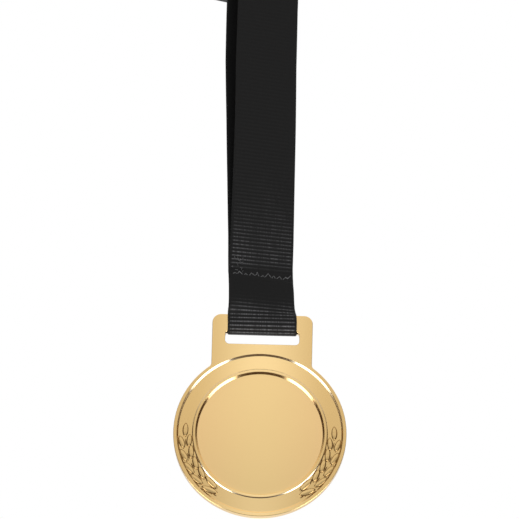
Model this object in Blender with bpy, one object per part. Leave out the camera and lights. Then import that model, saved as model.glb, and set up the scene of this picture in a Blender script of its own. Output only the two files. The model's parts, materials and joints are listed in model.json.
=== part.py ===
"""Award medal: a die-cast disc with a slotted tab, hanging from a sewn neck ribbon.

World frame, in metres: X to the right, Z up, -Y towards the viewer of the medal's face. The
origin is the centre of the round winding of spare ribbon, where a rail or peg holds the medal up.
"""

import math

import bmesh
import bpy
from mathutils import Vector

MM = 0.001

# Casting
DISC_RADIUS = 25.0 * MM
CASTING_THICKNESS = 2.5 * MM
RIM_BAND = 1.2 * MM
BORDER_DEPTH = 0.42 * MM
STEP_SLOPE = 0.3 * MM
BORDER_WIDTH = 4.35 * MM
BEAD_WIDTH = 1.05 * MM
BEAD_RISE = 0.3 * MM
RECESS_DEPTH = 0.9 * MM
FACE_STEPS = 96
RIM_STEPS = 84

# Slotted tab
SLOT_FLOOR_ABOVE_DISC = 2.0 * MM
SLOT_HEIGHT = 4.0 * MM
SLOT_SIDE_CLEARANCE = 0.75 * MM
SLOT_CORNER_RADIUS = 1.2 * MM
BAR_HEIGHT = 4.95 * MM
TAB_SIDE_POST = 3.8 * MM
TAB_CORNER_RADIUS = 2.4 * MM
TAB_ROOT_RADIUS = 1.5 * MM
SMALL_ARC_STEPS = 5
TAB_CORNER_STEPS = 8

# Laurel sprigs in the border
LEAF_LENGTH = 3.6 * MM
LEAF_WIDTH = 1.6 * MM
LEAF_RISE = 0.36 * MM
LEAF_ROOT = 0.2 * MM
LEAF_POINTS = 12
LEAF_FULLNESS = 1.3
# Leaves of the right-hand sprig, from its tip down to its foot: angle from the level, radius from the
# disc's centre in mm, lean of the tip towards the rim in degrees, and length as a share of LEAF_LENGTH
LEAVES = (
    (1.4, 21.45, 0, 1.03),
    (-7.6, 20.45, -12, 0.97), (-8.1, 22.65, 12, 1.0),
    (-17.1, 20.55, -13, 1.0), (-18.3, 22.8, 13, 1.07),
    (-27.2, 20.6, -13, 1.03), (-28.5, 22.85, 13, 1.12),
    (-37.0, 20.6, -13, 1.03), (-38.7, 22.85, 13, 1.15),
    (-48.2, 20.4, -5, 1.22), (-51.0, 22.3, 17, 1.22),
)

# Ribbon
RIBBON_WIDTH = 20.0 * MM
RIBBON_THICKNESS = 0.4 * MM
NECK_LENGTH = 800.0 * MM
LAYER_PITCH = 0.8 * MM
PEG_BORE_RADIUS = 12.5 * MM
PLY_GAP = 0.3 * MM
SEAM_ABOVE_BAR = 14.7 * MM
SEAM_TOP_MARGIN = 0.9 * MM
SEAM_TWIST = 20.0
STRAP_TWIST = 28.0
TWIST_CLEAR_OF_BAR = 0.8 * MM
STRAP_SPREAD = 4.4 * MM
STRAP_LENGTH = 108.0 * MM
SPREAD_PEAK = 0.75
LOOP_GAP = 0.1 * MM
FOLD_STEPS = 24
LOOP_SIDE_STEPS = 8
STRAP_STEPS = 40
ROLL_STEPS = 64

# Thread and fits
THREAD_RADIUS = 0.14 * MM
STITCH_PITCH = 1.25 * MM
STITCH_SWING = 0.45 * MM
THREAD_MARGIN = 1.5 * MM
SWING_CLEARANCE = 0.15 * MM
TOUCH_GAP = 0.3 * MM

# Looks: linear colour, roughness and, for the gold, how metallic it is
GOLD_LOOK = ((0.80, 0.58, 0.27), 0.22, 1.0)
GROSGRAIN_LOOK = ((0.016, 0.016, 0.017), 0.75)
THREAD_LOOK = ((0.05, 0.05, 0.052), 0.5)
SHARP_FROM = math.radians(35)
AXIS_SIZE = 5 * MM

# Radii of the face, from the rim inwards
BORDER_OUTER = DISC_RADIUS - RIM_BAND
BEAD_OUTER = BORDER_OUTER - BORDER_WIDTH
BEAD_INNER = BEAD_OUTER - BEAD_WIDTH
FACE = -CASTING_THICKNESS / 2

# Heights above the disc's centre
SLOT_WIDTH = RIBBON_WIDTH + 2 * SLOT_SIDE_CLEARANCE
TAB_HALF = SLOT_WIDTH / 2 + TAB_SIDE_POST
SLOT_BOTTOM = DISC_RADIUS + SLOT_FLOOR_ABOVE_DISC
SLOT_TOP = SLOT_BOTTOM + SLOT_HEIGHT
TAB_TOP = SLOT_TOP + BAR_HEIGHT
BAR_CENTRE = SLOT_TOP + BAR_HEIGHT / 2
SEAM = BAR_CENTRE + SEAM_ABOVE_BAR
LOOP_TOP = SEAM + SEAM_TOP_MARGIN
STRAP_FOOT = LOOP_TOP + TOUCH_GAP
ROLL_HEIGHT = STRAP_FOOT + STRAP_LENGTH


def fold_radius():
    """Inner radius of the fold: it clears the bar's corners, and the slot's rounded ones, at any swing."""
    into_corner = max(RIBBON_WIDTH / 2 - (SLOT_WIDTH / 2 - SLOT_CORNER_RADIUS), 0.0)
    drop = SLOT_CORNER_RADIUS - math.sqrt(SLOT_CORNER_RADIUS**2 - into_corner**2)
    return math.hypot(BAR_HEIGHT / 2 + drop, CASTING_THICKNESS / 2) + SWING_CLEARANCE


def roll_radius():
    """Outer radius of the winding that takes up the neck ribbon's spare length, two plies together."""
    loop = 2 * (LOOP_TOP - BAR_CENTRE) + math.pi * fold_radius()
    spare = (NECK_LENGTH - loop) / 2 - STRAP_LENGTH
    return math.sqrt(PEG_BORE_RADIUS**2 + 2 * LAYER_PITCH * spare / math.pi)


FOLD_RADIUS = fold_radius()
ROLL_RADIUS = roll_radius()

# The straps leave the winding at its front, so the drop line lies this far in front of its axis.
STRAP_OFFSET = PLY_GAP / 2 + RIBBON_THICKNESS / 2
DROP_AHEAD = ROLL_RADIUS + PLY_GAP + RIBBON_THICKNESS + STRAP_OFFSET
TURN = math.radians(STRAP_TWIST)
DROP_X = math.sin(TURN) * DROP_AHEAD
DROP_Y = -math.cos(TURN) * DROP_AHEAD


def hung(x, y, height):
    """World place of a point given from the drop line and from the height of the disc's centre."""
    return Vector((DROP_X + x, DROP_Y + y, height - ROLL_HEIGHT))


def smooth(t):
    """Smooth step from 0 to 1."""
    t = min(max(t, 0.0), 1.0)
    return t * t * (3 - 2 * t)


def ribbon_turn(height):
    """Angle in radians that the ribbon is turned about the drop line at a height."""
    free = BAR_CENTRE + FOLD_RADIUS + TWIST_CLEAR_OF_BAR
    lower = smooth((height - free) / (LOOP_TOP - free)) * SEAM_TWIST
    upper = smooth((height - LOOP_TOP) / STRAP_LENGTH) * (STRAP_TWIST - SEAM_TWIST)
    return math.radians(lower + upper)


def material(name, colour, roughness, metallic=0.0):
    made = bpy.data.materials.new(name)
    made.use_nodes = True
    shader = made.node_tree.nodes["Principled BSDF"]
    shader.inputs["Base Color"].default_value = (*colour, 1.0)
    shader.inputs["Roughness"].default_value = roughness
    shader.inputs["Metallic"].default_value = metallic
    return made


def finish(name, bm, made, parent=None):
    """Turns a bmesh in world space into an object whose origin is its parent's."""
    bmesh.ops.recalc_face_normals(bm, faces=bm.faces)
    mesh = bpy.data.meshes.new(name)
    if parent is not None:
        bmesh.ops.translate(bm, verts=bm.verts, vec=-parent.location)
    bm.to_mesh(mesh)
    bm.free()
    mesh.materials.append(made)
    mesh.shade_smooth()
    mesh.set_sharp_from_angle(angle=SHARP_FROM)
    obj = bpy.data.objects.new(name, mesh)
    obj.parent = parent
    bpy.context.collection.objects.link(obj)
    return obj


def joint_empty(name, place):
    empty = bpy.data.objects.new(name, None)
    empty.location = place
    empty.empty_display_size = AXIS_SIZE
    bpy.context.collection.objects.link(empty)
    return empty


def arc(centre_x, centre_z, radius, start, end, steps):
    """Points of an arc in the medal's plane, with angles in degrees from +X towards +Z."""
    angles = [math.radians(start + (end - start) * i / steps) for i in range(steps + 1)]
    return [(centre_x + radius * math.cos(a), centre_z + radius * math.sin(a)) for a in angles]


def medal_outline():
    """The disc and its tab as one outline, counterclockwise from the tab's right root."""
    root_x = TAB_HALF + TAB_ROOT_RADIUS
    root_z = math.sqrt((DISC_RADIUS + TAB_ROOT_RADIUS) ** 2 - root_x**2)
    meets = math.degrees(math.atan2(root_z, root_x))
    corner_x = TAB_HALF - TAB_CORNER_RADIUS
    corner_z = TAB_TOP - TAB_CORNER_RADIUS
    points = arc(root_x, root_z, TAB_ROOT_RADIUS, 180 + meets, 180, SMALL_ARC_STEPS)
    points += arc(corner_x, corner_z, TAB_CORNER_RADIUS, 0, 90, TAB_CORNER_STEPS)
    points += arc(-corner_x, corner_z, TAB_CORNER_RADIUS, 90, 180, TAB_CORNER_STEPS)
    points += arc(-root_x, root_z, TAB_ROOT_RADIUS, 0, -meets, SMALL_ARC_STEPS)
    points += arc(0, 0, DISC_RADIUS, 180 - meets, 360 + meets, RIM_STEPS)[1:-1]
    return points


def slot_outline():
    across = SLOT_WIDTH / 2 - SLOT_CORNER_RADIUS
    low = SLOT_BOTTOM + SLOT_CORNER_RADIUS
    high = SLOT_TOP - SLOT_CORNER_RADIUS
    points = []
    for x, z, start in ((across, low, -90), (across, high, 0), (-across, high, 90), (-across, low, 180)):
        points += arc(x, z, SLOT_CORNER_RADIUS, start, start + 90, SMALL_ARC_STEPS)
    return points


def loop_of(bm, points, depth):
    """A closed ring of vertices and edges in the medal's plane, at a depth from its middle."""
    verts = [bm.verts.new(hung(x, depth, z)) for x, z in points]
    edges = [bm.edges.new((a, b)) for a, b in zip(verts, verts[1:] + verts[:1])]
    return verts, edges


def join_rings(bm, first, second):
    for i, vert in enumerate(first):
        after = (i + 1) % len(first)
        bm.faces.new((vert, first[after], second[after], second[i]))


def face_profile():
    """Radius and depth of each ring of the face, from the rim step to the recess floor."""
    border = FACE + BORDER_DEPTH
    bead = border - BEAD_RISE
    return [
        (BORDER_OUTER, FACE),
        (BORDER_OUTER - STEP_SLOPE, border),
        (BEAD_OUTER, border),
        (BEAD_OUTER - STEP_SLOPE, bead),
        (BEAD_INNER + STEP_SLOPE, bead),
        (BEAD_INNER, FACE + RECESS_DEPTH),
    ]


def blank_casting():
    """The casting without its leaves."""
    bm = bmesh.new()
    front, front_edges = loop_of(bm, medal_outline(), FACE)
    back, back_edges = loop_of(bm, medal_outline(), -FACE)
    slot_front, slot_front_edges = loop_of(bm, slot_outline(), FACE)
    slot_back, slot_back_edges = loop_of(bm, slot_outline(), -FACE)
    join_rings(bm, front, back)
    join_rings(bm, slot_front, slot_back)
    rings = [arc(0, 0, r, 0, 360, FACE_STEPS)[:-1] for r, _ in face_profile()]
    loops = [loop_of(bm, ring, depth) for ring, (_, depth) in zip(rings, face_profile())]
    for (outer, _), (inner, _) in zip(loops, loops[1:]):
        join_rings(bm, outer, inner)
    bm.faces.new(loops[-1][0])
    bmesh.ops.triangle_fill(bm, use_beauty=True, edges=front_edges + slot_front_edges + loops[0][1])
    bmesh.ops.triangle_fill(bm, use_beauty=True, edges=back_edges + slot_back_edges)
    return bm


def leaf_outline(length):
    """A leaf pointed at both ends, as offsets along and across its length."""
    half = LEAF_POINTS // 2
    angles = [math.pi * i / half for i in range(half + 1)]
    upper = [(length / 2 * math.cos(a), LEAF_WIDTH / 2 * math.sin(a) ** LEAF_FULLNESS) for a in angles]
    return upper + [(along, -across) for along, across in reversed(upper[1:-1])]


def laurel():
    """Both sprigs as one mesh of separate pads that start just below the border's surface."""
    bm = bmesh.new()
    border = FACE + BORDER_DEPTH
    for side in (1, -1):
        for angle, radius, lean, share in LEAVES:
            a = math.radians(angle)
            centre = Vector((math.cos(a), math.sin(a))) * radius * MM
            turn = a + math.radians(90 - lean)
            along = Vector((math.cos(turn), math.sin(turn)))
            across = Vector((-along.y, along.x))
            places = [centre + along * u + across * v for u, v in leaf_outline(LEAF_LENGTH * share)]
            outline = [(side * p.x, p.y) for p in places]
            low, _ = loop_of(bm, outline, border + LEAF_ROOT)
            high, _ = loop_of(bm, outline, border - LEAF_RISE)
            join_rings(bm, low, high)
            bm.faces.new(low)
            bm.faces.new(high)
    return bm


def medal_casting(pivot):
    gold = material("gold_plated_zinc", *GOLD_LOOK)
    casting = finish("medal_casting", blank_casting(), gold, pivot)
    leaves = finish("laurel_pads", laurel(), gold, pivot)
    leaves.hide_render = True
    leaves.display_type = "WIRE"
    union = casting.modifiers.new("laurel", "BOOLEAN")
    union.operation = "UNION"
    union.use_self = True
    union.object = leaves
    return casting


def swept_strip(path, closed):
    """A strip of ribbon from sections of (centre line, half width along the ribbon, half thickness)."""
    bm = bmesh.new()
    rings = []
    for centre, across, out in path:
        corners = (centre - across - out, centre + across - out, centre + across + out, centre - across + out)
        rings.append([bm.verts.new(corner) for corner in corners])
    for first, second in zip(rings, rings[1:] + (rings[:1] if closed else [])):
        join_rings(bm, first, second)
    if not closed:
        bm.faces.new(rings[0])
        bm.faces.new(rings[-1])
    return bm


def turned(height, ahead):
    """Place, width direction and outward direction of a ribbon point, ahead of the drop line."""
    turn = ribbon_turn(height)
    width = Vector((math.cos(turn), math.sin(turn), 0))
    normal = Vector((math.sin(turn), -math.cos(turn), 0))
    return hung(0, 0, height) + normal * ahead, width, normal


def loop_section(radius, top_half, reach):
    """Section across the loop's plies: an arc under the bar and a straight rise on each side."""
    lean = math.degrees(math.asin((radius - top_half) / reach))
    around = arc(0, 0, radius, 180 - lean, 360 + lean, FOLD_STEPS)
    foot, rises = around[-1], [i / LOOP_SIDE_STEPS for i in range(1, LOOP_SIDE_STEPS + 1)]
    right = [(foot[0] + (top_half - foot[0]) * t, foot[1] + (reach - foot[1]) * t) for t in rises]
    return [(-x, z) for x, z in reversed(right)] + around + right


def hanger_loop():
    """Two plies that close round the bar and are sewn together at the top, turned with height."""
    top_half = STRAP_OFFSET + RIBBON_THICKNESS / 2
    outside = loop_section(FOLD_RADIUS + RIBBON_THICKNESS, top_half, LOOP_TOP - BAR_CENTRE)
    inside = loop_section(FOLD_RADIUS, LOOP_GAP / 2, SEAM - 2 * STITCH_SWING - BAR_CENTRE)
    bm = bmesh.new()
    sides = []
    for across in (-RIBBON_WIDTH / 2, RIBBON_WIDTH / 2):
        edges, rings = [], []
        for points in (outside, inside):
            sections = [turned(BAR_CENTRE + height, depth) for depth, height in points]
            verts = [bm.verts.new(place + width * across) for place, width, _ in sections]
            edges += [bm.edges.new((a, b)) for a, b in zip(verts, verts[1:] + verts[:1])]
            rings.append(verts)
        bmesh.ops.triangle_fill(bm, use_beauty=True, edges=edges)
        sides.append(rings)
    for first, second in zip(*sides):
        join_rings(bm, first, second)
    return bm


def strap_ahead(height, side):
    """How far a strap's middle lies ahead of the drop line: together at the seam and at the winding."""
    t = (height - STRAP_FOOT) / STRAP_LENGTH
    if t < SPREAD_PEAK:
        spread = math.sin(math.pi / 2 * t / SPREAD_PEAK)
    else:
        spread = 0.5 + 0.5 * math.cos(math.pi * (t - SPREAD_PEAK) / (1 - SPREAD_PEAK))
    return side * (STRAP_OFFSET + STRAP_SPREAD / 2 * spread)


def strap(side):
    """One of the two straps between the seam and the winding; side is 1 for the front one."""
    path = []
    for i in range(STRAP_STEPS + 1):
        height = STRAP_FOOT + STRAP_LENGTH * i / STRAP_STEPS
        place, width, normal = turned(height, strap_ahead(height, side))
        path.append((place, width * RIBBON_WIDTH / 2, normal * RIBBON_THICKNESS / 2))
    return swept_strip(path, closed=False)


def ribbon_roll():
    """The outer shape of the winding: a ring about a level axis, turned as the straps are at their top."""
    width = Vector((math.cos(TURN), math.sin(TURN), 0))
    normal = Vector((math.sin(TURN), -math.cos(TURN), 0))
    middle = (ROLL_RADIUS + PEG_BORE_RADIUS) / 2
    half = (ROLL_RADIUS - PEG_BORE_RADIUS) / 2
    path = []
    for i in range(ROLL_STEPS):
        a = 2 * math.pi * i / ROLL_STEPS
        out = normal * math.cos(a) + Vector((0, 0, 1)) * math.sin(a)
        path.append((out * middle, width * RIBBON_WIDTH / 2, out * half))
    return swept_strip(path, closed=True)


def thread(side):
    """A zigzag of thread across the loop, just clear of one face of it; side is 1 for the front."""
    half = RIBBON_WIDTH / 2 - THREAD_MARGIN
    count = max(2, round(2 * half / STITCH_PITCH))
    lean = (FOLD_RADIUS + RIBBON_THICKNESS - STRAP_OFFSET) / (LOOP_TOP - BAR_CENTRE)
    path = []
    for i in range(count + 1):
        height = SEAM + STITCH_SWING * (1 if i % 2 else -1)
        clear = STRAP_OFFSET + RIBBON_THICKNESS / 2 + (LOOP_TOP - height) * lean + TOUCH_GAP + THREAD_RADIUS
        place, width, normal = turned(height, side * clear)
        out = normal * side * THREAD_RADIUS
        path.append((place + width * half * (2 * i / count - 1), Vector((0, 0, THREAD_RADIUS)), out))
    return swept_strip(path, closed=False)


def main():
    for obj in list(bpy.data.objects):
        bpy.data.objects.remove(obj)
    swing = joint_empty("medal_swing_axis", hung(0, 0, BAR_CENTRE))
    twist = joint_empty("ribbon_twist_axis", hung(0, 0, LOOP_TOP))
    medal_casting(swing)
    black = material("black_grosgrain", *GROSGRAIN_LOOK)
    polyester = material("black_thread", *THREAD_LOOK)
    finish("hanger_loop", hanger_loop(), black, twist)
    finish("needle_thread", thread(1), polyester, twist)
    finish("bobbin_thread", thread(-1), polyester, twist)
    finish("front_strap", strap(1), black)
    finish("back_strap", strap(-1), black)
    finish("ribbon_roll", ribbon_roll(), black)


main()
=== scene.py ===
"""Looks of the award medal: a satin gold casting on a black grosgrain neck ribbon.

Metres, +Z up, -Y towards the viewer of the face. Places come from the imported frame.
"""

import json
import math
import bmesh
import bpy
import numpy as np
from mathutils import Matrix, Vector


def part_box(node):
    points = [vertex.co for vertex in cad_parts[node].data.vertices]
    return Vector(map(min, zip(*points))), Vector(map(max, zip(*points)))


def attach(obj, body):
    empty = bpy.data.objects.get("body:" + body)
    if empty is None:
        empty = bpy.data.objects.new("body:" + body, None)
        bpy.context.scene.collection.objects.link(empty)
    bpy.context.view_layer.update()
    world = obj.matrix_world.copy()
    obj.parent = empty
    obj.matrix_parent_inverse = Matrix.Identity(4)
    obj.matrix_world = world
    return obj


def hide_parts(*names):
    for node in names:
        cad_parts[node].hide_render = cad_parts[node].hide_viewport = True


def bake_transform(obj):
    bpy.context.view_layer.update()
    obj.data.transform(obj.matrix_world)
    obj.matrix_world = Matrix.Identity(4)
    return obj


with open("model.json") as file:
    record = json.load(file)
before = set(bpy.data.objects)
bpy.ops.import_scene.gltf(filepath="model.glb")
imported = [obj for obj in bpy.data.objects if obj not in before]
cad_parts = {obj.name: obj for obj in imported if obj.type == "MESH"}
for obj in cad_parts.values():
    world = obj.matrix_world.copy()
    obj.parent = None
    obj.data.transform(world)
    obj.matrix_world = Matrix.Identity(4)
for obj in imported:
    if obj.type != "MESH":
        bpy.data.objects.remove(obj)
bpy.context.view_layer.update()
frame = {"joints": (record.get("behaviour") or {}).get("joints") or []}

MM = 0.001

# Places from the frame
CASTING_LOW, CASTING_HIGH = (Vector(corner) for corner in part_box("medal_casting"))
JOINT = {joint["name"]: joint for joint in frame["joints"]}
BAR = Vector(JOINT["medal_swing"]["pos_m"])
TWIST = Vector(JOINT["ribbon_twist"]["pos_m"])
DISC_RADIUS = (CASTING_HIGH.x - CASTING_LOW.x) / 2
DISC = Vector((BAR.x, BAR.y, CASTING_LOW.z + DISC_RADIUS))
HALF_THICK = (CASTING_HIGH.y - CASTING_LOW.y) / 2
TAB_TOP = CASTING_HIGH.z - DISC.z

# Casting, radii and heights from the disc's centre
RIM_BAND = 1.2 * MM
BORDER_WIDTH = 4.35 * MM
BEAD_WIDTH = 1.05 * MM
BORDER_OUTER = DISC_RADIUS - RIM_BAND
BORDER_DROP = 0.55 * MM
BORDER_FALL = 0.29 * MM
BEAD_OUTER = BORDER_OUTER - BORDER_WIDTH
BEAD_INNER = BEAD_OUTER - BEAD_WIDTH
BEAD_RISE = 0.25 * MM
RECESS_DROP = 0.9 * MM
STEP_WALL = 0.5 * MM
BEAD_WALL = 0.3 * MM
RECESS_WALL = 0.5 * MM
RECESS_CROWN = 0.22 * MM
WALL_EASE = 0.3
EDGE_ROUND = 0.12 * MM
FLAT_MARGIN = 0.06 * MM
SIDE_SHADE_REACH = 21 * MM
TAB_HALF = 14.55 * MM
TAB_CORNER = 2.55 * MM
TAB_ROOT = 1.5 * MM
BAR_HEIGHT = 2 * (CASTING_HIGH.z - BAR.z)
SLOT_TOP = TAB_TOP - BAR_HEIGHT
SLOT_HEIGHT = 4.0 * MM
SLOT_HALF = 10.75 * MM
SLOT_CORNER = 1.2 * MM
ROOT_STEPS = 10
SLOT_CORNER_STEPS = 10
TAB_CORNER_STEPS = 20
DISC_STEPS = 280
EDGE_STEPS = 5
WALL_STEPS = 9
FACE_STEPS = 360
FLOOR_RINGS = 16

# Laurel
LEAF_LENGTH = 4.2 * MM
LEAF_WIDTH = 1.8 * MM
LEAF_RISE = 0.36 * MM
LEAF_BANK = 0.33 * MM
LEAF_TAPER = 0.3
LEAF_SHADE = 0.06
# Angle over the disc's level, radius in mm, lean of the tip towards the rim, length and width as shares
LEAVES = (
    (1.4, 21.45, 0, 1.03, 1.0),
    (-7.6, 20.45, -12, 0.97, 0.97), (-8.1, 22.65, 12, 1.0, 0.97),
    (-17.1, 20.55, -13, 1.0, 0.97), (-18.3, 22.8, 13, 1.07, 0.98),
    (-27.2, 20.6, -13, 1.03, 0.97), (-28.5, 22.85, 13, 1.12, 1.0),
    (-37.0, 20.6, -13, 1.03, 0.97), (-38.7, 22.85, 13, 1.15, 1.0),
    (-48.2, 20.4, -5, 1.22, 0.97), (-51.0, 22.3, 17, 1.22, 1.05),
)
# Brown slivers of painted shade that stand in for the sunk grooves beside the right-hand sprig's leaves: from
# and to angle, radius in mm, and width in mm
GROOVE_SHADE_SLIVERS = (
    (-4, -9, 23.55, 0.28), (-12.5, -18, 23.6, 0.34), (-22, -30.5, 23.6, 0.34), (-32.5, -40, 23.55, 0.34),
    (-50.5, -54.5, 22.95, 0.33), (-53.5, -58, 22.6, 0.41),
    (-3, -8.5, 19.6, 0.28), (-11.5, -18.5, 19.65, 0.31), (-21.5, -29, 19.65, 0.33),
    (-31, -41.5, 19.65, 0.34), (-43, -51, 19.6, 0.34),
    (-5.5, -11.5, 21.55, 0.30), (-17, -22.5, 21.7, 0.34), (-25.5, -31, 21.75, 0.36),
    (-36, -41.5, 21.75, 0.38), (-48.5, -55.5, 21.35, 0.38),
)
GROOVE_RISE = 0.05 * MM
GROOVE_BANK = 0.3 * MM
GROOVE_SHADE = 0.95

# Ribbon
RIBBON_HALF = 10.0 * MM
RIBBON_LENGTH = 800.0 * MM
PLY = 0.32 * MM
RIB_PITCH = 1.12 * MM
RIB_HEIGHT = 0.12 * MM
FOLD_RADIUS = 3.05 * MM
SEAM_MARGIN = 0.95 * MM
SEAM = TWIST.z - SEAM_MARGIN
STRAP_SPREAD = 4.6 * MM
SPREAD_PEAK = 0.75
BACK_STRAP_ASIDE = 1.1 * MM
PLIES_TOGETHER = 0.62
STRAP_STEPS = 160
WINDING_STEPS = 90
FOLD_STEPS = 60
LOOP_SIDE_STEPS = 30
TUCK_BELOW_SEAM = 1.2 * MM
LOOP_END_ABOVE_SEAM = 1.5 * MM
LOOP_CLOSES_ABOVE_SEAM = 2.0 * MM
PATH_STEP = 0.1 * MM
PATH_EASINGS = 12
IN_VIEW_BELOW = -18 * MM
RIB_ROWS = 8
RIB_ROWS_OUT_OF_VIEW = 3

# The ribbon by its height over the bar's middle: turn in degrees, shift aside, slant of the ribs,
# and how far the ribs stand out (they are pressed flat where the two ends are sewn together); the same share
# sets how bright the painted highlight on their crests is, brighter lower down
HEIGHTS = (0.0, 1.0, 2.2, 3.5, 5.0, 7.1, 10.7, 15.0, 18.2, 25.5, 43.7, 61.9, 80.1, 97.8, 123.9)
TURNS = (0.0, 0.4, 3.3, 12.0, 16.0, 17.5, 18.5, 20.0, 21.5, 22.8, 25.3, 26.6, 27.0, 28.0, 28.0)
SHIFTS = (-0.1, -0.15, -0.22, -0.27, -0.4, -0.5, -0.65, -1.0, -1.1, -1.1, -1.4, -1.7, -2.15, -2.2, -1.3)
SLANTS = (0.0, 0.0, 0.01, 0.015, 0.02, 0.03, 0.04, 0.05, 0.055, 0.055, 0.055, 0.055, 0.055, 0.055, 0.0)
RIBS = (1.0, 1.0, 1.0, 1.0, 0.85, 0.45, 0.12, 0.3, 0.9, 0.8, 0.45, 0.28, 0.25, 0.25, 0.5)
FIBRE_SCALE = 0.35 * MM
INNER_WINDING = 12.9 * MM

THREAD_RADIUS = 0.13 * MM
STITCH_STEP = 0.85 * MM
STITCH_SWING = 0.5 * MM
STITCH_ARCH = 0.16 * MM
STITCH_WANDER = (0.3 * MM, 0.4 * MM)  # along the seam and across it
SEAM_SIDE_MARGIN = 0.9 * MM
SEAM_SLANT = 0.05
# Front (1) and back (-1): how far out the stitches lie, in thicknesses of ribbon, and their seed
STITCHES_OUT = {1: 1.75, -1: 2.1}
STITCH_SEED = {1: 7, -1: 8}
LINT_COUNT = 16

# Camera
LENS_MM, SENSOR_MM = 480.8, 36.0
TILT, ROLL = math.radians(19.06), math.radians(1.45)
CAMERA_DISTANCE = 2.0
CAMERA_RAISED, CAMERA_LEFT = 50.47 * MM, 0.1 * MM

# Floor
FLOOR_HALF = 8.0
FLOOR_HEIGHT = -0.95

# Studio, by the way that light comes from: X aside, Y away from the viewer, Z up, each from -1 to 1.
# A pair is where a light fades in or out, and a single value is its strength. DARK_ROOM is the colour
# of all that gives no light. The strips give the walls their light arcs, and a flat face that is seen
# from a side where it mirrors one of them shows plain white.
DARK_ROOM = (0.055, 0.028, 0.010)
TENT_ASIDE, TENT_AHEAD = (0.8, 0.55), (0.2, -0.2)
TENT_RAMP, TENT_LOW, TENT_HIGH = (0.05, 0.42), 0.54, 1.06
TENT_TOP, TENT_TOP_SHARE = (0.34, 0.46), 0.9
BEHIND, BEHIND_ASIDE, BEHIND_STRENGTH = (0.3, 0.6), (0.78, 0.6), 0.9
OVERHEAD, OVERHEAD_STRENGTH = (0.55, 0.75), 0.95
CARD_BELOW = (-0.86, -0.74)
STRIP_ASIDE, STRIP_TOP, STRIP_FOOT, STRIP_STRENGTH = (0.46, 0.54), (-0.28, -0.36), (-0.87, -0.81), 4.6


def linear(code):
    """An sRGB hex colour as linear red, green, blue and alpha."""
    parts = [int(code[i : i + 2], 16) / 255 for i in (1, 3, 5)]
    return [p / 12.92 if p <= 0.04045 else ((p + 0.055) / 1.055) ** 2.4 for p in parts] + [1.0]


def add(tree, kind, inputs=None, **settings):
    """Adds a node with its settings; each input takes a value or another node's output."""
    node = tree.nodes.new(kind)
    for name, value in settings.items():
        setattr(node, name, value)
    for name, value in (inputs or {}).items():
        if isinstance(value, bpy.types.NodeSocket):
            tree.links.new(value, node.inputs[name])
        else:
            node.inputs[name].default_value = value
    return node


def new_material(name):
    material = bpy.data.materials.new(name)
    material.use_nodes = True
    material.node_tree.nodes.clear()
    return material, material.node_tree


def show(tree, shader):
    add(tree, "ShaderNodeOutputMaterial", {"Surface": shader.outputs["BSDF"]})


def satin_gold_plate():
    """Gold-coloured plating over polished zinc: soft, wide reflections, and a painted brown shade in the
    tight corners.

    The deeper gold towards the disc's sides and the pale walls are painted, and stand in for the way
    that light rolls off a real polished face."""
    material, tree = new_material("satin_gold_plate")
    place = add(tree, "ShaderNodeTexCoord").outputs["Object"]
    corner = add(tree, "ShaderNodeAttribute", attribute_name="corner").outputs["Fac"]
    cloud = add(tree, "ShaderNodeTexNoise", {"Vector": place, "Scale": 90.0, "Detail": 3.0})
    recess = add(tree, "ShaderNodeAttribute", attribute_name="recess").outputs["Fac"]
    wall = add(tree, "ShaderNodeAttribute", attribute_name="wall").outputs["Fac"]
    across = add(tree, "ShaderNodeSeparateXYZ", {0: place}).outputs["X"]
    off = add(tree, "ShaderNodeMath", {0: across, 1: DISC.x}, operation="SUBTRACT").outputs[0]
    aside = add(tree, "ShaderNodeMath", {0: off}, operation="ABSOLUTE").outputs[0]
    # Painted shade: the gold is deeper towards the disc's sides, and changes less across the recess.
    side = add(tree, "ShaderNodeMapRange", {"Value": aside, "From Max": SIDE_SHADE_REACH},
               interpolation_type="SMOOTHSTEP").outputs["Result"]
    middle = add(tree, "ShaderNodeMix", {0: recess, 6: linear("#FFDD9E"), 7: linear("#F3D193")},
                 data_type="RGBA").outputs[2]
    edge = add(tree, "ShaderNodeMix", {0: recess, 6: linear("#DFBB7D"), 7: linear("#EEC88D")},
               data_type="RGBA").outputs[2]
    plate = add(tree, "ShaderNodeMix", {0: side, 6: middle, 7: edge}, data_type="RGBA").outputs[2]
    # Painted light: the walls are mixed towards a pale gold.
    bright = add(tree, "ShaderNodeMix", {0: wall, 6: plate, 7: linear("#FFF0D4")},
                 data_type="RGBA").outputs[2]
    # Painted shade: the corner attribute darkens the leaf banks and the groove slivers towards brown.
    colour = add(tree, "ShaderNodeMix", {0: corner, 6: bright, 7: linear("#5E380C")}, data_type="RGBA")
    rough = add(tree, "ShaderNodeMapRange", {"Value": cloud.outputs["Fac"], "To Min": 0.14, "To Max": 0.19})
    grain = add(tree, "ShaderNodeTexNoise", {"Vector": place, "Scale": 2600.0, "Detail": 2.0})
    bump = add(tree, "ShaderNodeBump", {
        "Height": grain.outputs["Fac"], "Strength": 0.06, "Distance": 0.02 * MM})
    shader = add(tree, "ShaderNodeBsdfPrincipled", {
        "Base Color": colour.outputs[2], "Metallic": 1.0, "Roughness": rough.outputs["Result"],
        "Normal": bump.outputs["Normal"]})
    show(tree, shader)
    return material


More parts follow.
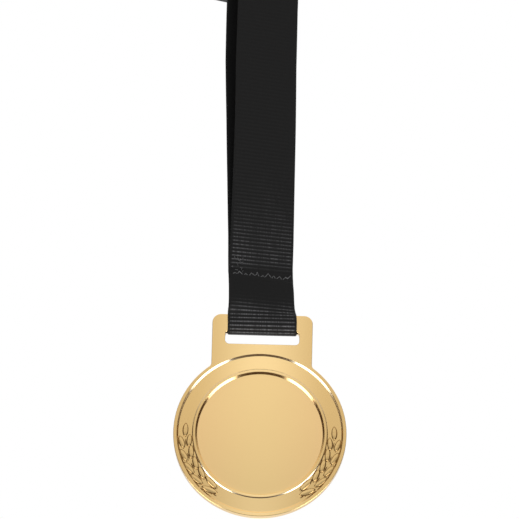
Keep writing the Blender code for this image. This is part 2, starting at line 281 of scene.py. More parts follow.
def black_grosgrain():
    """Woven polyester grosgrain: a matt near-black with a slight sheen, and a painted highlight in its colour
    on the fine yarns over each rib.
    """
    material, tree = new_material("black_grosgrain")
    uv = add(tree, "ShaderNodeUVMap", uv_map="cloth").outputs["UV"]
    yarns = add(tree, "ShaderNodeMapping", {"Vector": uv, "Scale": (1 / FIBRE_SCALE, 0.25 / RIB_PITCH, 1.0)})
    fibre = add(tree, "ShaderNodeTexNoise", {"Vector": yarns.outputs["Vector"], "Scale": 1.0, "Detail": 2.0})
    patch = add(tree, "ShaderNodeMapping", {"Vector": uv, "Scale": (120.0, 60.0, 1.0)})
    highlight_patches = add(tree, "ShaderNodeTexNoise", {"Vector": patch.outputs["Vector"], "Scale": 1.0, "Detail": 3.0})
    # Painted highlight: the rib crests are lifted towards grey, in glinting flecks and brighter and duller
    # patches.
    crest = add(tree, "ShaderNodeAttribute", attribute_name="crest").outputs["Fac"]
    thin = add(tree, "ShaderNodeMath", {0: crest, 1: 4.0}, operation="POWER").outputs[0]
    glint = add(tree, "ShaderNodeMapRange", {"Value": fibre.outputs["Fac"], "From Min": 0.4, "From Max": 0.7,
                                             "To Min": 0.35, "To Max": 1.3}).outputs[0]
    highlight_patchiness = add(tree, "ShaderNodeMapRange", {"Value": highlight_patches.outputs["Fac"], "From Min": 0.35, "From Max": 0.65,
                                            "To Min": 0.4, "To Max": 1.2}).outputs[0]
    crest_highlight = add(tree, "ShaderNodeMath", {0: thin, 1: glint}, operation="MULTIPLY").outputs[0]
    lift = add(tree, "ShaderNodeMath", {0: crest_highlight, 1: highlight_patchiness}, operation="MULTIPLY").outputs[0]
    colour = add(tree, "ShaderNodeMix", {0: lift, 6: linear("#161616"), 7: linear("#707072")},
                 data_type="RGBA", clamp_factor=True)
    bump = add(tree, "ShaderNodeBump", {
        "Height": fibre.outputs["Fac"], "Strength": 0.5, "Distance": 0.06 * MM})
    shader = add(tree, "ShaderNodeBsdfPrincipled", {
        "Base Color": colour.outputs[2], "Roughness": 0.62, "IOR": 1.5, "Specular IOR Level": 0.12,
        "Sheen Weight": 0.02, "Sheen Roughness": 0.5, "Normal": bump.outputs["Normal"]})
    show(tree, shader)
    return material


def black_thread():
    """Twisted polyester thread: black, with painted glints in its colour besides the real glints of its
    smooth filaments.
    """
    material, tree = new_material("black_thread")
    place = add(tree, "ShaderNodeTexCoord").outputs["Object"]
    # Painted highlight: flecks along the thread are mixed towards grey.
    thread_glints = add(tree, "ShaderNodeTexNoise", {"Vector": place, "Scale": 3000.0, "Detail": 1.0})
    colour = add(tree, "ShaderNodeMix", {0: thread_glints.outputs["Fac"], 6: linear("#202021"), 7: linear("#68686A")},
                 data_type="RGBA")
    shader = add(tree, "ShaderNodeBsdfPrincipled", {"Base Color": colour.outputs[2], "Roughness": 0.38})
    show(tree, shader)
    return material


def piece_from(name, bm, material):
    mesh = bpy.data.meshes.new(name)
    bm.to_mesh(mesh)
    bm.free()
    mesh.materials.append(material)
    mesh.shade_smooth()
    piece = bpy.data.objects.new(name, mesh)
    bpy.context.collection.objects.link(piece)
    return piece


def smooth(t):
    t = np.clip(t, 0.0, 1.0)
    return t * t * (3 - 2 * t)


# ---------------------------------------------------------------- casting


def arc(centre_x, centre_z, radius, start, end, steps):
    """Points of an arc in the medal's plane, with angles in degrees from +X towards +Z."""
    angles = np.radians(np.linspace(start, end, steps + 1))
    return [(centre_x + radius * math.cos(a), centre_z + radius * math.sin(a)) for a in angles]


def medal_outline(inset):
    """The disc and its tab as one outline, drawn inwards by an inset, with the same points each time."""
    root_x = TAB_HALF + TAB_ROOT
    root_z = math.sqrt((DISC_RADIUS + TAB_ROOT) ** 2 - root_x**2)
    meets = math.degrees(math.atan2(root_z, root_x))
    corner_x, corner_z = TAB_HALF - TAB_CORNER, TAB_TOP - TAB_CORNER
    points = arc(root_x, root_z, TAB_ROOT + inset, 180 + meets, 180, ROOT_STEPS)
    points += arc(corner_x, corner_z, TAB_CORNER - inset, 0, 90, TAB_CORNER_STEPS)
    points += arc(-corner_x, corner_z, TAB_CORNER - inset, 90, 180, TAB_CORNER_STEPS)
    points += arc(-root_x, root_z, TAB_ROOT + inset, 0, -meets, ROOT_STEPS)
    points += arc(0, 0, DISC_RADIUS - inset, 180 - meets, 360 + meets, DISC_STEPS)[1:-1]
    return points


def slot_outline(inset):
    """The slot, widened by an inset into the metal round it."""
    across = SLOT_HALF - SLOT_CORNER
    low, high = SLOT_TOP - SLOT_HEIGHT + SLOT_CORNER, SLOT_TOP - SLOT_CORNER
    radius = SLOT_CORNER + inset
    corners = ((across, low, -90), (across, high, 0), (-across, high, 90), (-across, low, 180))
    return [point for x, z, start in corners
            for point in arc(x, z, radius, start, start + 90, SLOT_CORNER_STEPS)]


def ring_in(bm, points, depth):
    """A ring of vertices from points in the medal's plane, at a depth from its middle."""
    return [bm.verts.new((DISC.x + x, DISC.y + depth, DISC.z + z)) for x, z in points]


def bridge(bm, first, second):
    for i, vert in enumerate(first):
        after = (i + 1) % len(first)
        bm.faces.new((vert, first[after], second[after], second[i]))


def rounded_wall(bm, outline):
    """Rings from the front to the back along an outline, with rounded edges; returns the end rings."""
    section = [(EDGE_ROUND + FLAT_MARGIN, -HALF_THICK)]
    turn = [math.pi / 2 * i / EDGE_STEPS for i in range(EDGE_STEPS + 1)]
    section += [(EDGE_ROUND * (1 - math.sin(a)), -HALF_THICK + EDGE_ROUND * (1 - math.cos(a))) for a in turn]
    section += [(inset, -depth) for inset, depth in reversed(section)]
    rings = [ring_in(bm, outline(inset), depth) for inset, depth in section]
    for first, second in zip(rings, rings[1:]):
        bridge(bm, first, second)
    return rings[0], rings[-1]


def face_section():
    """Radius, depth and share of wall of the face's rings, from the rim's top to the middle."""
    border = BORDER_DROP - BORDER_FALL
    walls = (
        (BORDER_OUTER + STEP_WALL / 2, STEP_WALL, 0.0, BORDER_DROP),
        (BEAD_OUTER + BEAD_WALL / 2, BEAD_WALL, border, border - BEAD_RISE),
        (BEAD_INNER + RECESS_WALL / 2, RECESS_WALL, border - BEAD_RISE, RECESS_DROP),
    )
    rings = []
    for outer, width, above, below in walls:
        rings.append((outer + FLAT_MARGIN, above, 0.0))
        for i in range(WALL_STEPS + 1):
            t = i / WALL_STEPS
            fall = WALL_EASE * float(smooth(t)) + (1 - WALL_EASE) * t
            rings.append((outer - width * t, above + (below - above) * fall, math.sin(math.pi * t) ** 0.6))
        rings.append((outer - width - FLAT_MARGIN, below, 0.0))
    inner = rings[-1][0]
    for i in range(1, FLOOR_RINGS):
        radius = inner * (1 - i / FLOOR_RINGS)
        rings.append((radius, RECESS_DROP - RECESS_CROWN * (1 - (radius / inner) ** 2), 0.0))
    return rings, RECESS_DROP - RECESS_CROWN


def gold_medal(gold):
    """The casting: rim and tab at one level, a lower border that slopes, a bead and a domed recess."""
    bm = bmesh.new()
    wall = bm.verts.layers.float.new("wall")
    inside = bm.verts.layers.float.new("recess")
    front, back = rounded_wall(bm, medal_outline)
    slot_front, slot_back = rounded_wall(bm, slot_outline)
    section, crown = face_section()
    rings = []
    for radius, depth, value in section:
        ring = ring_in(bm, arc(0, 0, radius, 0, 360, FACE_STEPS)[:-1], depth - HALF_THICK)
        for vert in ring:
            vert[wall] = value
            vert[inside] = 1.0 if radius < BEAD_INNER else 0.0
        rings.append(ring)
    for outer, inner in zip(rings, rings[1:]):
        bridge(bm, outer, inner)
    middle = bm.verts.new(DISC + Vector((0, crown - HALF_THICK, 0)))
    middle[inside] = 1.0
    for i, vert in enumerate(rings[-1]):
        bm.faces.new((vert, rings[-1][(i + 1) % len(rings[-1])], middle))
    for edge_rings in ((front, slot_front, rings[0]), (back, slot_back)):
        edges = [bm.edges.get((a, b)) for ring in edge_rings for a, b in zip(ring, ring[1:] + ring[:1])]
        bmesh.ops.triangle_fill(bm, use_beauty=True, edges=edges)
    bmesh.ops.recalc_face_normals(bm, faces=bm.faces)
    return piece_from("gold_medal", bm, gold)


# ---------------------------------------------------------------- what repeats


def input_value(modifier, tree, name, value):
    """Sets a Geometry Nodes input through its socket's identifier."""
    for item in tree.interface.items_tree:
        if item.item_type == "SOCKET" and item.in_out == "INPUT" and item.name == name:
            modifier[item.identifier] = value


def repeated(name, tree, places, turns, shares, sizes, material):
    """A mesh of one copy of the tree's piece at each place, turned and stretched as given."""
    mesh = bpy.data.meshes.new(name)
    mesh.from_pydata([tuple(place) for place in places], [], [])
    for key, rows in (("turn", turns), ("share", shares)):
        layer = mesh.attributes.new(key, "FLOAT_VECTOR", "POINT")
        layer.data.foreach_set("vector", [value for row in rows for value in row])
    seed = bpy.data.objects.new(name + "_places", mesh)
    bpy.context.collection.objects.link(seed)
    modifier = seed.modifiers.new("repeat", "NODES")
    modifier.node_group = tree
    for key, value in sizes.items():
        input_value(modifier, tree, key, value)
    input_value(modifier, tree, "Material", material)
    evaluated = seed.evaluated_get(bpy.context.evaluated_depsgraph_get())
    grown = bpy.data.meshes.new_from_object(evaluated)
    grown.name = name
    seed.modifiers.clear()
    bpy.data.objects.remove(seed)
    grown.shade_smooth()
    piece = bpy.data.objects.new(name, grown)
    bpy.context.collection.objects.link(piece)
    return piece


def repeat_tree(name, sizes):
    """A tree with a mesh input, named sizes and a material; returns it with its group input."""
    tree = bpy.data.node_groups.new(name, "GeometryNodeTree")
    tree.interface.new_socket("Geometry", in_out="INPUT", socket_type="NodeSocketGeometry")
    for size in sizes:
        tree.interface.new_socket(size, in_out="INPUT", socket_type="NodeSocketFloat")
    tree.interface.new_socket("Material", in_out="INPUT", socket_type="NodeSocketMaterial")
    tree.interface.new_socket("Geometry", in_out="OUTPUT", socket_type="NodeSocketGeometry")
    return tree, add(tree, "NodeGroupInput").outputs


def place_copies(tree, given, piece):
    """Ends a tree: the piece stands on each point, turned and stretched by the point's own values."""
    points = add(tree, "GeometryNodeMeshToPoints", {"Mesh": given["Geometry"]})
    turn = add(tree, "GeometryNodeInputNamedAttribute", {"Name": "turn"}, data_type="FLOAT_VECTOR")
    share = add(tree, "GeometryNodeInputNamedAttribute", {"Name": "share"}, data_type="FLOAT_VECTOR")
    copies = add(tree, "GeometryNodeInstanceOnPoints", {
        "Points": points.outputs["Points"], "Instance": piece, "Rotation": turn.outputs["Attribute"],
        "Scale": share.outputs["Attribute"]})
    real = add(tree, "GeometryNodeRealizeInstances", {"Geometry": copies.outputs["Instances"]})
    painted = add(tree, "GeometryNodeSetMaterial", {
        "Geometry": real.outputs["Geometry"], "Material": given["Material"]})
    add(tree, "NodeGroupOutput", {"Geometry": painted.outputs["Geometry"]})


def leaf_tree():
    """A laurel leaf: a low plateau with a sloping bank all round, drawn to a blunt point at both ends, with
    painted brown shade on the bank.
    """
    tree, given = repeat_tree("laurel_leaf", ("Length", "Width", "Rise", "Bank", "Point", "Shade"))
    ball = add(tree, "GeometryNodeMeshUVSphere", {"Segments": 30, "Rings": 26, "Radius": 1.0})
    place = add(tree, "GeometryNodeInputPosition").outputs[0]
    where = add(tree, "ShaderNodeSeparateXYZ", {0: place}).outputs
    flat = add(tree, "ShaderNodeCombineXYZ", {0: where["X"], 1: where["Y"]}).outputs[0]
    length = add(tree, "ShaderNodeVectorMath", {0: flat}, operation="LENGTH").outputs["Value"]
    out = add(tree, "ShaderNodeMath", {0: where["X"], 1: where["X"]}, operation="MULTIPLY").outputs[0]
    whole = add(tree, "ShaderNodeMath", {0: length, 1: length, 2: 0.0001},
                operation="MULTIPLY_ADD").outputs[0]
    ends = add(tree, "ShaderNodeMath", {0: out, 1: whole}, operation="DIVIDE").outputs[0]
    power = add(tree, "ShaderNodeMath", {0: ends, 1: 1.4, 2: 1.0}, operation="MULTIPLY_ADD").outputs[0]
    radius = add(tree, "ShaderNodeMath", {0: length, 1: power}, operation="POWER").outputs[0]
    share = add(tree, "ShaderNodeMath", {0: given["Bank"], 1: given["Width"]}, operation="DIVIDE").outputs[0]
    start = add(tree, "ShaderNodeMath", {0: share, 1: -2.0, 2: 1.0}, operation="MULTIPLY_ADD").outputs[0]
    bank = add(tree, "ShaderNodeMapRange", {"Value": radius, "From Min": start, "From Max": 1.0,
                                            "To Min": 1.0, "To Max": 0.0}, interpolation_type="SMOOTHSTEP")
    dome = add(tree, "ShaderNodeMapRange", {"Value": radius, "To Min": 1.0, "To Max": 0.72})
    top = add(tree, "ShaderNodeMath", {0: bank.outputs[0], 1: dome.outputs[0]},
              operation="MULTIPLY").outputs[0]
    upper = add(tree, "ShaderNodeMath", {0: where["Z"], 1: 0.0}, operation="GREATER_THAN").outputs[0]
    under = add(tree, "ShaderNodeMath", {0: where["Z"], 1: 0.0}, operation="MINIMUM").outputs[0]
    lifted = add(tree, "ShaderNodeMath", {0: top, 1: upper, 2: under}, operation="MULTIPLY_ADD").outputs[0]
    # Painted shade: the bank is stored as 0.72 of the brown corner colour, and the top as the Shade input.
    shade = add(tree, "ShaderNodeMapRange", {"Value": top, "From Min": 0.45, "From Max": 0.9,
                                             "To Min": 0.72, "To Max": given["Shade"]})
    stored = add(tree, "GeometryNodeStoreNamedAttribute", {
        "Geometry": ball.outputs["Mesh"], "Name": "corner", "Value": shade.outputs[0]},
        data_type="FLOAT", domain="POINT")
    reach = add(tree, "ShaderNodeMath", {0: where["X"]}, operation="ABSOLUTE").outputs[0]
    sharp = add(tree, "ShaderNodeMath", {0: reach, 1: 2.5}, operation="POWER").outputs[0]
    pinch = add(tree, "ShaderNodeMath", {0: sharp, 1: given["Point"]}, operation="MULTIPLY").outputs[0]
    keep = add(tree, "ShaderNodeMath", {0: 1.0, 1: pinch}, operation="SUBTRACT").outputs[0]
    half_long = add(tree, "ShaderNodeMath", {0: given["Length"], 1: 0.5}, operation="MULTIPLY").outputs[0]
    half_wide = add(tree, "ShaderNodeMath", {0: given["Width"], 1: 0.5}, operation="MULTIPLY").outputs[0]
    wide = add(tree, "ShaderNodeMath", {0: half_wide, 1: keep}, operation="MULTIPLY").outputs[0]
    unit = add(tree, "ShaderNodeCombineXYZ", {0: where["X"], 1: where["Y"], 2: lifted}).outputs[0]
    scale = add(tree, "ShaderNodeCombineXYZ", {0: half_long, 1: wide, 2: given["Rise"]}).outputs[0]
    shaped = add(tree, "ShaderNodeVectorMath", {0: unit, 1: scale}, operation="MULTIPLY")
    leaf = add(tree, "GeometryNodeSetPosition", {
        "Geometry": stored.outputs["Geometry"], "Position": shaped.outputs[0]})
    place_copies(tree, given, leaf.outputs["Geometry"])
    return tree


def laurel_sprigs(gold, tree):
    """Two mirrored sprigs of cast leaves that stand out of the border."""
    places, turns, shares = [], [], []
    for side in (1, -1):
        for angle, radius, lean, long, wide in LEAVES:
            a, radius = math.radians(angle), radius * MM
            along = a + math.radians(90 - lean)
            fall = BORDER_FALL * (BORDER_OUTER - radius) / (BORDER_OUTER - BEAD_OUTER)
            places.append(DISC + Vector((side * radius * math.cos(a), BORDER_DROP - fall - HALF_THICK,
                                         radius * math.sin(a))))
            turns.append((math.pi / 2, -along if side > 0 else along - math.pi, 0.0))
            shares.append((long, wide, 1.0))
    sizes = {"Length": LEAF_LENGTH, "Width": LEAF_WIDTH, "Rise": LEAF_RISE, "Bank": LEAF_BANK,
             "Point": LEAF_TAPER, "Shade": LEAF_SHADE}
    return repeated("laurel_sprigs", tree, places, turns, shares, sizes, gold)


def laurel_groove_shade(gold, tree):
    """Slim brown slivers of painted shade just proud of the border, which stand in for the sunk grooves by
    the leaves.
    """
    places, turns, shares = [], [], []
    for side in (1, -1):
        for start, end, radius, width in GROOVE_SHADE_SLIVERS:
            a, radius = math.radians((start + end) / 2), radius * MM
            fall = BORDER_FALL * (BORDER_OUTER - radius) / (BORDER_OUTER - BEAD_OUTER)
            places.append(DISC + Vector((side * radius * math.cos(a), BORDER_DROP - fall - HALF_THICK,
                                         radius * math.sin(a))))
            along = a + math.pi / 2
            turns.append((math.pi / 2, -along if side > 0 else along - math.pi, 0.0))
            shares.append((radius * math.radians(start - end) / MM, width, 1.0))
    sizes = {"Length": 1 * MM, "Width": 1 * MM, "Rise": GROOVE_RISE, "Bank": GROOVE_BANK,
             "Point": LEAF_TAPER, "Shade": GROOVE_SHADE}
    return repeated("laurel_groove_shade", tree, places, turns, shares, sizes, gold)


# ---------------------------------------------------------------- ribbon


def at_height(values, z):
    """A value of one of the ribbon's tables at a height."""
    return np.interp(z, BAR.z + np.array(HEIGHTS) * MM, values)


def turn_at(z):
    """Angle in radians that the ribbon is turned about the drop line at a height."""
    return np.radians(at_height(TURNS, z))


def hung_point(z, ahead, aside=0.0, squared=False):
    """Place and width direction of a ribbon point at a height, ahead of the drop line and aside of it.

    A squared point lies straight in front of the bar, not in front of the turned ribbon."""
    turn = float(turn_at(z))
    width = Vector((math.cos(turn), math.sin(turn), 0.0))
    normal = Vector((0.0, -1.0, 0.0)) if squared else Vector((math.sin(turn), -math.cos(turn), 0.0))
    aside += float(at_height(SHIFTS, z)) * MM
    return Vector((BAR.x, BAR.y, z)) + normal * ahead + width * aside, width


def strap_spread(z):
    """0 where the straps lie together, at the seam and the winding, and 1 where they are furthest apart."""
    t = (z - TWIST.z) / -TWIST.z
    if t < SPREAD_PEAK:
        return math.sin(math.pi / 2 * max(t, 0.0) / SPREAD_PEAK)
    return 0.5 + 0.5 * math.cos(math.pi * (t - SPREAD_PEAK) / (1 - SPREAD_PEAK))


def strap_points(side):
    """Up the front strap (side 1) or the back one (side -1), from the seam to the winding."""
    points = []
    for z in np.linspace(SEAM - TUCK_BELOW_SEAM if side > 0 else SEAM, 0.0, STRAP_STEPS):
        spread = strap_spread(z)
        together = PLY * PLIES_TOGETHER if z < 0 else 0.0
        aside = -BACK_STRAP_ASIDE * spread if side < 0 else 0.0
        points.append(hung_point(z, side * (together + STRAP_SPREAD / 2 * spread), aside))
    return points


def winding_points(side, turns):
    """Round the winding, from its front over its top and inwards; the back ply lies inside the front one."""
    turn = math.radians(TURNS[-1])
    width = Vector((math.cos(turn), math.sin(turn), 0.0))
    normal = Vector((math.sin(turn), -math.cos(turn), 0.0))
    aside = width * SHIFTS[-1] * MM
    outer = Vector((BAR.x, BAR.y, 0.0)).length + side * PLY * PLIES_TOGETHER
    inner = INNER_WINDING + side * PLY * PLIES_TOGETHER
    points = []
    for t in np.linspace(0, 1, int(WINDING_STEPS * turns)):
        a = 2 * math.pi * turns * t
        radius = outer + (inner - outer) * t
        points.append((aside + (normal * math.cos(a) + Vector((0, 0, 1)) * math.sin(a)) * radius, width))
    return points


def loop_points():
    """From the seam down behind the bar, round under it and up in front to the ribbon's other end."""
    reach = SEAM + LOOP_CLOSES_ABOVE_SEAM - BAR.z
    top = PLY * 1.2
    lean = math.asin((FOLD_RADIUS - top) / reach)
    points = []
    for z in np.linspace(SEAM, BAR.z + FOLD_RADIUS * math.sin(lean), LOOP_SIDE_STEPS):
        fall = (BAR.z + reach - z) * math.tan(lean)
        points.append(hung_point(z, -(top + fall), squared=True))
    for a in np.linspace(math.pi - lean, 2 * math.pi + lean, FOLD_STEPS):
        z = BAR.z + FOLD_RADIUS * math.sin(a)
        points.append(hung_point(z, FOLD_RADIUS * math.cos(a), squared=True))
    end = SEAM + LOOP_END_ABOVE_SEAM
    for z in np.linspace(BAR.z + FOLD_RADIUS * math.sin(lean), end, LOOP_SIDE_STEPS)[1:]:
        fall = (BAR.z + reach - z) * math.tan(lean)
        tucked = 0.9 * PLY if z > SEAM - TUCK_BELOW_SEAM else 0.0
        points.append(hung_point(z, top + fall - tucked, squared=True))
    return points


def path_length(points):
    return sum((b[0] - a[0]).length for a, b in zip(points, points[1:]))


def ribbon_path():
    """The ribbon's whole length, from the end sewn on at the front of the seam to the end under it."""
    front, back, loop = strap_points(1), strap_points(-1)[::-1], loop_points()
    rest = path_length(front) + path_length(back) + path_length(loop)
    low, high = 1.0, 6.0
    for _ in range(40):
        turns = (low + high) / 2
        total = rest + path_length(winding_points(1, turns)) + path_length(winding_points(-1, turns))
        low, high = (turns, high) if total < RIBBON_LENGTH else (low, turns)
    return front + winding_points(1, turns)[1:] + winding_points(-1, turns)[::-1] + back[1:] + loop[1:]


def traced(points):
    """A dense table of the path: distance along it, places, width directions and face normals."""
    places = np.array([place for place, _ in points])
    widths = np.array([width for _, width in points])
    run = np.concatenate([[0.0], np.cumsum(np.linalg.norm(np.diff(places, axis=0), axis=1))])
    keep = np.concatenate([[True], np.diff(run) > 1e-7])
    run, places, widths = run[keep], places[keep], widths[keep]
    dense = np.arange(0.0, run[-1], PATH_STEP)
    place = np.stack([np.interp(dense, run, places[:, i]) for i in range(3)], axis=1)
    width = np.stack([np.interp(dense, run, widths[:, i]) for i in range(3)], axis=1)
    for _ in range(PATH_EASINGS):
        place[1:-1] = (place[:-2] + 2 * place[1:-1] + place[2:]) / 4
    along = np.gradient(place, dense, axis=0)
    normal = np.cross(width, along)
    return dense, place, width, normal / np.linalg.norm(normal, axis=1)[:, None]


def neck_ribbon(cloth):
    """One length of grosgrain, ribbed across on both faces, with a flatter selvedge along each side."""
    run, place, width, normal = traced(ribbon_path())
    rows = [0.0]
    while rows[-1] < run[-1]:
        seen = np.interp(rows[-1], run, place[:, 2]) < IN_VIEW_BELOW
        rows.append(rows[-1] + RIB_PITCH / (RIB_ROWS if seen else RIB_ROWS_OUT_OF_VIEW))
    rows = np.array(rows[:-1])
    height = np.interp(rows, run, place[:, 2])
    rising = np.sign(np.interp(rows, run, np.gradient(place[:, 2], run)))
    slant = at_height(SLANTS, height) * rising
    strength = at_height(RIBS, height)
    rib = np.cos(np.pi * rows / RIB_PITCH) ** 2
    columns = np.array([-1.0, -0.965, -0.9, -0.45, 0.0, 0.45, 0.9, 0.965, 1.0])
    relief = np.array([0.0, 0.55, 1.0, 1.0, 1.0, 1.0, 1.0, 0.55, 0.0])
    body = np.array([0.45, 1.0, 0.9, 1.0, 1.0, 1.0, 0.9, 1.0, 0.45])
    order = list(range(9)) + list(range(7, 0, -1))
    faces = [1] * 9 + [-1] * 7
    verts = np.zeros((len(rows), len(order), 3))
    crest = np.zeros((len(rows), len(order)))
    for k, (column, face) in enumerate(zip(order, faces)):
        across = columns[column] * RIBBON_HALF
        s_at = np.clip(rows + slant * across, 0.0, run[-1])
        here, wide, out = (np.stack([np.interp(s_at, run, table[:, i]) for i in range(3)], axis=1)
                           for table in (place, width, normal))
        half = PLY / 2 * body[column] + RIB_HEIGHT * (rib - 0.5) * strength * relief[column]
        lift = face * half * (0.0 if column in (0, 8) else 1.0)
        verts[:, k] = here + wide * across + out * lift[:, None]
        # The crest share also sets where the cloth's colour is painted with a highlight.
        crest[:, k] = rib * strength * relief[column]
    return cloth_mesh("neck_ribbon", verts, crest, rows, columns[order] * RIBBON_HALF, cloth)


def cloth_mesh(name, verts, crest, rows, across, cloth):
    """A closed mesh from rows of points, with a UV map in metres and the ribs' crests as an attribute."""
    count, around = verts.shape[:2]
    index = np.arange(count * around).reshape(count, around)
    after = np.roll(index, -1, axis=1)
    quads = np.stack([index[:-1], after[:-1], after[1:], index[1:]], axis=-1).reshape(-1, 4)
    mesh = bpy.data.meshes.new(name)
    ends = [tuple(index[0][::-1]), tuple(index[-1])]
    mesh.from_pydata(verts.reshape(-1, 3).tolist(), [], [tuple(q) for q in quads.tolist()] + ends)
    layer = mesh.attributes.new("crest", "FLOAT", "POINT")
    layer.data.foreach_set("value", crest.reshape(-1))
    uv = mesh.uv_layers.new(name="cloth")
    corner = np.zeros(len(mesh.loops), dtype=np.int32)
    mesh.loops.foreach_get("vertex_index", corner)
    flat = np.stack([np.tile(across, count), np.repeat(rows, around)], axis=1)
    uv.data.foreach_set("uv", flat[corner].reshape(-1))
    mesh.materials.append(cloth)
    mesh.shade_smooth()
    bm = bmesh.new()
    bm.from_mesh(mesh)
    bmesh.ops.recalc_face_normals(bm, faces=bm.faces)
    bm.to_mesh(mesh)
    bm.free()
    piece = bpy.data.objects.new(name, mesh)
    bpy.context.collection.objects.link(piece)
    return piece


# ---------------------------------------------------------------- seam


def stitch_tree():
    """One stitch: a short arch of thread whose ends go down into the cloth."""
    tree, given = repeat_tree("stitch", ("Length", "Radius", "Arch"))
    back = add(tree, "ShaderNodeMath", {0: given["Length"], 1: -0.5}, operation="MULTIPLY")
    ahead = add(tree, "ShaderNodeMath", {0: given["Length"], 1: 0.5}, operation="MULTIPLY")
    down = add(tree, "ShaderNodeMath", {0: given["Arch"], 1: -1.0}, operation="MULTIPLY")
    start = add(tree, "ShaderNodeCombineXYZ", {0: back.outputs[0], 2: down.outputs[0]})
    middle = add(tree, "ShaderNodeCombineXYZ", {2: given["Arch"]})
    end = add(tree, "ShaderNodeCombineXYZ", {0: ahead.outputs[0], 2: down.outputs[0]})
    arch = add(tree, "GeometryNodeCurveQuadraticBezier", {
        "Resolution": 8, "Start": start.outputs[0], "Middle": middle.outputs[0], "End": end.outputs[0]})
    round_thread = add(tree, "GeometryNodeCurvePrimitiveCircle", {"Resolution": 8, "Radius": given["Radius"]})
    tube = add(tree, "GeometryNodeCurveToMesh", {
        "Curve": arch.outputs["Curve"], "Profile Curve": round_thread.outputs["Curve"], "Fill Caps": True})
    place_copies(tree, given, tube.outputs["Mesh"])
    return tree


def seam_stitches(name, side, tree, thread):
    """A zigzag of stitches across the loop's front (side 1) or back (side -1)."""
    rng = np.random.default_rng(STITCH_SEED[side])
    half = RIBBON_HALF - SEAM_SIDE_MARGIN
    count = int(2 * half / STITCH_STEP)
    clear = PLY * STITCHES_OUT[side]
    corners = []
    for i in range(count + 1):
        across = half * (2 * i / count - 1) + rng.uniform(-1, 1) * STITCH_WANDER[0]
        swing = STITCH_SWING if i % 2 else -STITCH_SWING
        z = SEAM + SEAM_SLANT * across + swing + rng.uniform(-1, 1) * STITCH_WANDER[1]
        corners.append(hung_point(z, side * clear, across)[0])
    places, turns, shares = [], [], []
    facing = float(turn_at(SEAM))
    out = Vector((math.sin(facing), -math.cos(facing), 0.0)) * side
    for a, b in zip(corners, corners[1:]):
        along = (b - a).normalized()
        cross = out.cross(along).normalized()
        up = along.cross(cross)
        turned = Matrix((along, cross, up)).transposed().to_euler("XYZ")
        places.append((a + b) / 2)
        turns.append(tuple(turned))
        shares.append(((b - a).length / STITCH_STEP, 1.0, 1.0))
    for _ in range(LINT_COUNT if side > 0 else 0):
        across, z = -half + rng.uniform(0, 3.5) * MM, SEAM + rng.uniform(-0.6, 5.0) * MM
        places.append(hung_point(z, side * clear, across)[0])
        turns.append((math.pi / 2, rng.uniform(0, math.pi), facing))
        shares.append((rng.uniform(0.4, 1.2), 0.5, 0.5))
    sizes = {"Length": STITCH_STEP, "Radius": THREAD_RADIUS, "Arch": STITCH_ARCH}
    return repeated(name, tree, places, turns, shares, sizes, thread)


# ---------------------------------------------------------------- studio


def camera():
    """A long lens just below the medal, looking up at it, a little rolled."""
    data = bpy.data.cameras.new("camera")
    data.lens, data.sensor_width = LENS_MM, SENSOR_MM
    data.clip_start, data.clip_end = 0.01, 100.0
    eye = bpy.data.objects.new("camera", data)
    bpy.context.collection.objects.link(eye)
    look = Vector((0, math.cos(TILT), math.sin(TILT)))
    upright = Vector((0, -math.sin(TILT), math.cos(TILT)))
    level = look.cross(upright)
    right = level * math.cos(ROLL) + upright * math.sin(ROLL)
    up = look.cross(right) * -1
    centre = DISC + up * CAMERA_RAISED - right * CAMERA_LEFT
    facing = Matrix((right, up, -look)).transposed().to_4x4()
    eye.matrix_world = Matrix.Translation(centre - look * CAMERA_DISTANCE) @ facing
    bpy.context.scene.camera = eye
    return eye


def floor():
    """A wide, matt pale floor below the medal, left out of reflections, bounced light and shadows."""
    bm = bmesh.new()
    bmesh.ops.create_grid(bm, x_segments=1, y_segments=1, size=FLOOR_HALF)
    bmesh.ops.translate(bm, verts=bm.verts, vec=(0, 0, FLOOR_HEIGHT))
    material, tree = new_material("pale_floor")
    shader = add(tree, "ShaderNodeBsdfPrincipled", {"Base Color": linear("#F4F4F4"), "Roughness": 0.9})
    show(tree, shader)
    plane = piece_from("studio_floor", bm, material)
    plane.visible_glossy = plane.visible_diffuse = plane.visible_shadow = False
    return plane


def band(tree, value, start, end):
    """0 below start and 1 past end, with a soft edge; the other way round where end is the smaller."""
    soft = add(tree, "ShaderNodeMapRange", {"Value": value, "From Min": start, "From Max": end},
               interpolation_type="SMOOTHSTEP")
    return soft.outputs["Result"]


def times(tree, *values):
    result = values[0]
    for value in values[1:]:
        result = add(tree, "ShaderNodeMath", {0: result, 1: value}, operation="MULTIPLY").outputs[0]
    return result


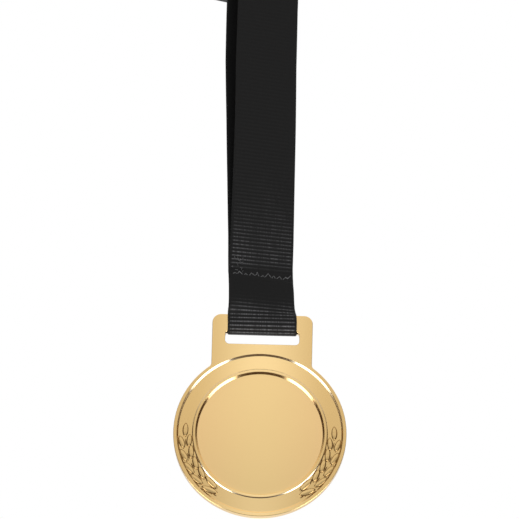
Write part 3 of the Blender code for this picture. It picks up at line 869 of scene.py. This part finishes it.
def studio():
    """A white tent, with black cards beside and under the medal and a bright strip low on each side."""
    world = bpy.data.worlds.new("white_tent")
    world.use_nodes = True
    tree = world.node_tree
    tree.nodes.clear()
    coming = add(tree, "ShaderNodeTexCoord").outputs["Generated"]
    way = add(tree, "ShaderNodeSeparateXYZ", {0: coming}).outputs
    aside = add(tree, "ShaderNodeMath", {0: way["X"]}, operation="ABSOLUTE").outputs[0]
    front = add(tree, "ShaderNodeMapRange", {
        "Value": way["Z"], "From Min": TENT_RAMP[0], "From Max": TENT_RAMP[1], "To Min": TENT_LOW,
        "To Max": TENT_HIGH}, interpolation_type="SMOOTHSTEP").outputs["Result"]
    high = add(tree, "ShaderNodeMapRange", {
        "Value": way["Z"], "From Min": TENT_TOP[0], "From Max": TENT_TOP[1], "To Min": 1.0,
        "To Max": TENT_TOP_SHARE}).outputs["Result"]
    tent = times(tree, band(tree, aside, *TENT_ASIDE), band(tree, way["Y"], *TENT_AHEAD), front, high)
    behind = times(tree, band(tree, way["Y"], *BEHIND), band(tree, aside, *BEHIND_ASIDE), BEHIND_STRENGTH)
    above = times(tree, band(tree, way["Z"], *OVERHEAD), OVERHEAD_STRENGTH)
    either = add(tree, "ShaderNodeMath", {0: tent, 1: behind}, operation="MAXIMUM").outputs[0]
    either = add(tree, "ShaderNodeMath", {0: either, 1: above}, operation="MAXIMUM").outputs[0]
    above_floor = times(tree, either, band(tree, way["Z"], *CARD_BELOW))
    strip = times(tree, band(tree, aside, *STRIP_ASIDE), band(tree, way["Z"], *STRIP_TOP),
                  band(tree, way["Z"], *STRIP_FOOT), STRIP_STRENGTH)
    light = add(tree, "ShaderNodeMath", {0: above_floor, 1: strip}, operation="ADD").outputs[0]
    seen = add(tree, "ShaderNodeLightPath").outputs["Is Camera Ray"]
    grey = add(tree, "ShaderNodeCombineXYZ", {0: light, 1: light, 2: light}).outputs[0]
    warm = add(tree, "ShaderNodeVectorMath", {0: grey, 1: DARK_ROOM}, operation="MAXIMUM").outputs[0]
    shown = add(tree, "ShaderNodeMix", {0: seen, 6: warm, 7: linear("#FFFFFF")}, data_type="RGBA").outputs[2]
    lit = add(tree, "ShaderNodeBackground", {"Color": shown, "Strength": 1.0})
    add(tree, "ShaderNodeOutputWorld", {"Surface": lit.outputs["Background"]})
    bpy.context.scene.world = world
    bpy.context.scene.view_settings.view_transform = "Standard"


def main():
    camera()
    floor()
    studio()
    gold, cloth, thread = satin_gold_plate(), black_grosgrain(), black_thread()
    medal = gold_medal(gold)
    leaf = leaf_tree()
    for piece in (medal, laurel_sprigs(gold, leaf), laurel_groove_shade(gold, leaf)):
        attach(piece, "medal")
    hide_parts("medal_casting")
    ribbon = neck_ribbon(cloth)
    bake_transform(ribbon)
    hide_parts("hanger_loop", "front_strap", "back_strap", "ribbon_roll")
    stitch = stitch_tree()
    for name, side, node in (("front_stitches", 1, "needle_thread"), ("back_stitches", -1, "bobbin_thread")):
        stitches = seam_stitches(name, side, stitch, thread)
        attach(stitches, "loop")
        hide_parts(node)


main()
